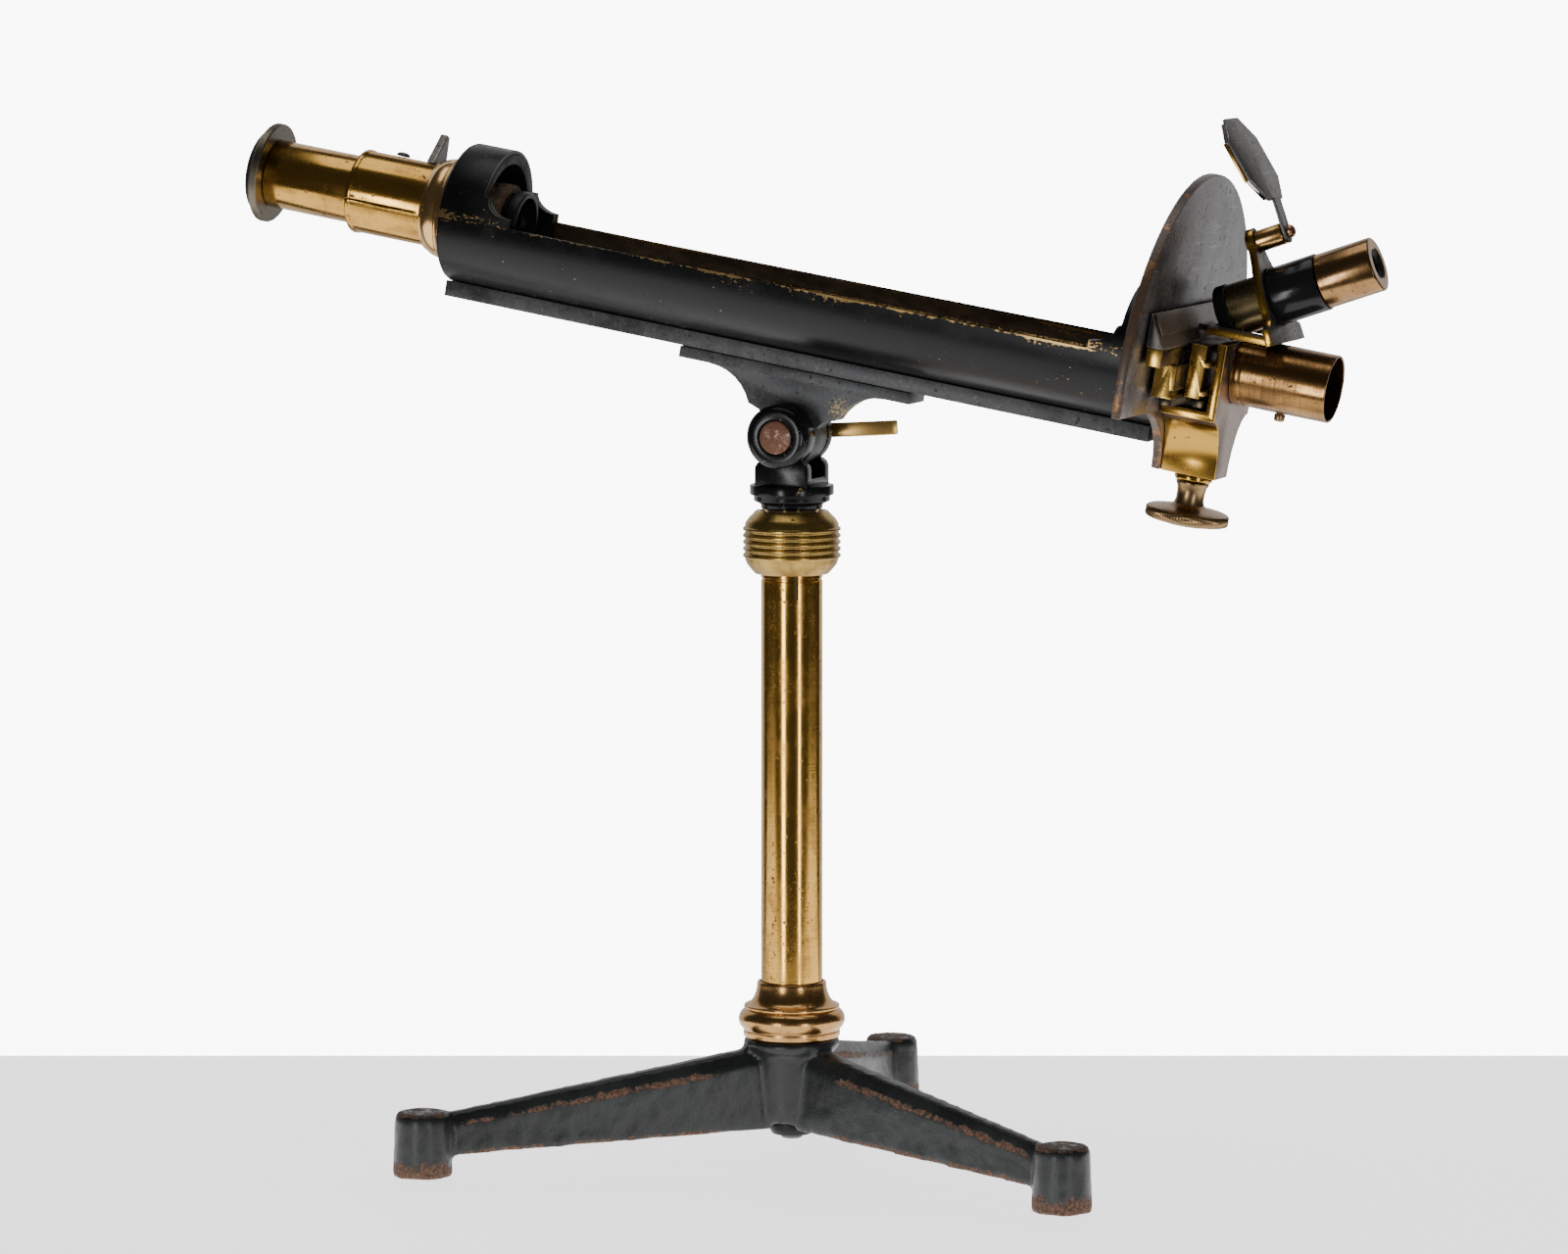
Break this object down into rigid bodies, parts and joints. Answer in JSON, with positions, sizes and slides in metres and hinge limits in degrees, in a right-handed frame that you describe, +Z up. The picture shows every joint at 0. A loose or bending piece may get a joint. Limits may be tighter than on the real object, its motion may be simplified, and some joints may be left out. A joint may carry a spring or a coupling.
{
  "type": "saccharimeter",
  "caption": "Antique polarising saccharimeter: a tilting open trough with polariser, quartz-wedge compensator, reading telescope and mirror on a brass pillar and iron tripod.",
  "frame": {"origin": "on the table plane, under the centre of the whole instrument's bounding box", "axes": "+X along the instrument towards the observer's end, +Z up, -Y the side of the clamp boss"},
  "size_m": [0.4324, 0.2346, 0.3815],
  "materials": {
    "cast_iron_paint": "worn black stove enamel over cast iron, rusty at the feet",
    "black_lacquer": "gloss black lacquer, chipped to brass at edges",
    "grey_lacquer": "satin grey-black lacquer, worn",
    "brass": "old lacquered brass, browned",
    "bright_brass": "bright worn brass",
    "steel": "dark oxidised steel",
    "brown_lacquer": "brown lacquered metal",
    "cork": "old cork packing",
    "glass": "clear glass or crystal",
    "black_mirror": "silvered glass seen from its dark back"
  },
  "bodies": {
    "stand": {"tripod_base": "cast_iron_paint", "hub_nut": "cast_iron_paint", "column_stud": "steel", "column_ferrule": "brass", "column_tube": "brass"},
    "collar": {"clamp_collar": "brass"},
    "post": {"inner_post": "brass"},
    "fork": {"head_fork": "black_lacquer", "tilt_pin": "steel"},
    "lever": {"clamp_lever": "brass"},
    "head": {"tilt_bracket": "grey_lacquer", "saddle_screw_left": "steel", "saddle_screw_right": "steel", "rail": "grey_lacquer", "trough_tube": "black_lacquer", "head_liner_left": "black_lacquer", "head_liner_right": "black_lacquer", "polariser_collar": "brass", "shield_disc": "grey_lacquer", "compensator_frame": "bright_brass", "pinion_bush": "brass", "telescope_socket": "brass", "telescope_tube": "brass", "guide_screw": "brass", "analyser_mount": "black_lacquer", "analyser_prism": "glass", "reading_bracket": "bright_brass", "reading_tube": "black_lacquer", "objective_cell": "black_lacquer", "reading_objective": "glass", "vernier_plate": "brown_lacquer", "mirror_boss": "brass", "mirror_screw": "steel"},
    "polariser": {"polariser_sleeve": "brass", "polariser_lug": "steel", "lug_screw": "steel", "half_shade_cell": "black_lacquer", "half_shade_plate": "glass", "cell_packing": "cork"},
    "draw": {"draw_tube": "brass", "draw_flange": "brass", "condenser_cell": "grey_lacquer", "condenser_lens": "glass", "polariser_prism": "glass", "prism_cork": "cork"},
    "slide_a": {"wedge_slide_a": "bright_brass", "scale_head": "brown_lacquer", "scale_plate": "brown_lacquer", "rack_a": "brass", "quartz_wedge_a": "glass"},
    "slide_b": {"wedge_slide_b": "bright_brass", "rack_b": "brass", "quartz_wedge_b": "glass"},
    "knob": {"compensator_knob": "brass", "pinion": "steel"},
    "eyepiece": {"reading_eyepiece": "brass", "eye_lens": "glass"},
    "mirror": {"mirror_arm": "steel", "mirror_glass": "black_mirror", "mirror_clip": "bright_brass"}
  },
  "joints": [
    {"name": "post_slide", "type": "slide", "parent": "stand", "child": "post", "axis": [0, 0, 1], "range_m": [0, 0.1]},
    {"name": "head_swivel", "type": "hinge", "parent": "post", "child": "fork", "pos_m": [-0.00464, -0.03035, 0.2417], "axis": [0, 0, 1], "continuous": true},
    {"name": "collar_turn", "type": "hinge", "parent": "stand", "child": "collar", "pos_m": [-0.00464, -0.03035, 0.2266], "axis": [0, 0, 1], "range_deg": [-120, 120]},
    {"name": "head_tilt", "type": "hinge", "parent": "fork", "child": "head", "pos_m": [-0.00464, -0.03035, 0.2657], "axis": [0, 1, 0], "range_deg": [-40, 35]},
    {"name": "lever_turn", "type": "hinge", "parent": "fork", "child": "lever", "pos_m": [-0.00464, -0.03035, 0.2657], "axis": [0, 1, 0], "range_deg": [-70, 45]},
    {"name": "polariser_turn", "type": "hinge", "parent": "head", "child": "polariser", "pos_m": [-0.15289, -0.03035, 0.34743], "axis": [0.9854, 0, -0.1702], "range_deg": [-15, 15]},
    {"name": "polariser_draw", "type": "slide", "parent": "polariser", "child": "draw", "axis": [-0.9854, 0, 0.1702], "range_m": [-0.008, 0.02]},
    {"name": "knob_turn", "type": "hinge", "parent": "head", "child": "knob", "pos_m": [0.14581, -0.03035, 0.25017], "axis": [0.1702, 0, 0.9854], "range_deg": [-644, 310]},
    {"name": "slide_a_travel", "type": "slide", "parent": "head", "child": "slide_a", "axis": [0, 1, 0], "range_m": [-0.013, 0.027]},
    {"name": "slide_b_travel", "type": "slide", "parent": "head", "child": "slide_b", "axis": [0, 1, 0], "range_m": [-0.027, 0.013]},
    {"name": "eyepiece_focus", "type": "slide", "parent": "head", "child": "eyepiece", "axis": [0.9478, 0, 0.319], "range_m": [0, 0.012]},
    {"name": "mirror_swing", "type": "hinge", "parent": "head", "child": "mirror", "pos_m": [0.17223, -0.03035, 0.33912], "axis": [0.9478, 0, 0.319], "range_deg": [-80, 80]}
  ],
  "couplings": [
    {"joint": "slide_b_travel", "follows": "slide_a_travel", "ratio": -1},
    {"joint": "knob_turn", "follows": "slide_a_travel", "rad_per_m": -416.67}
  ]
}
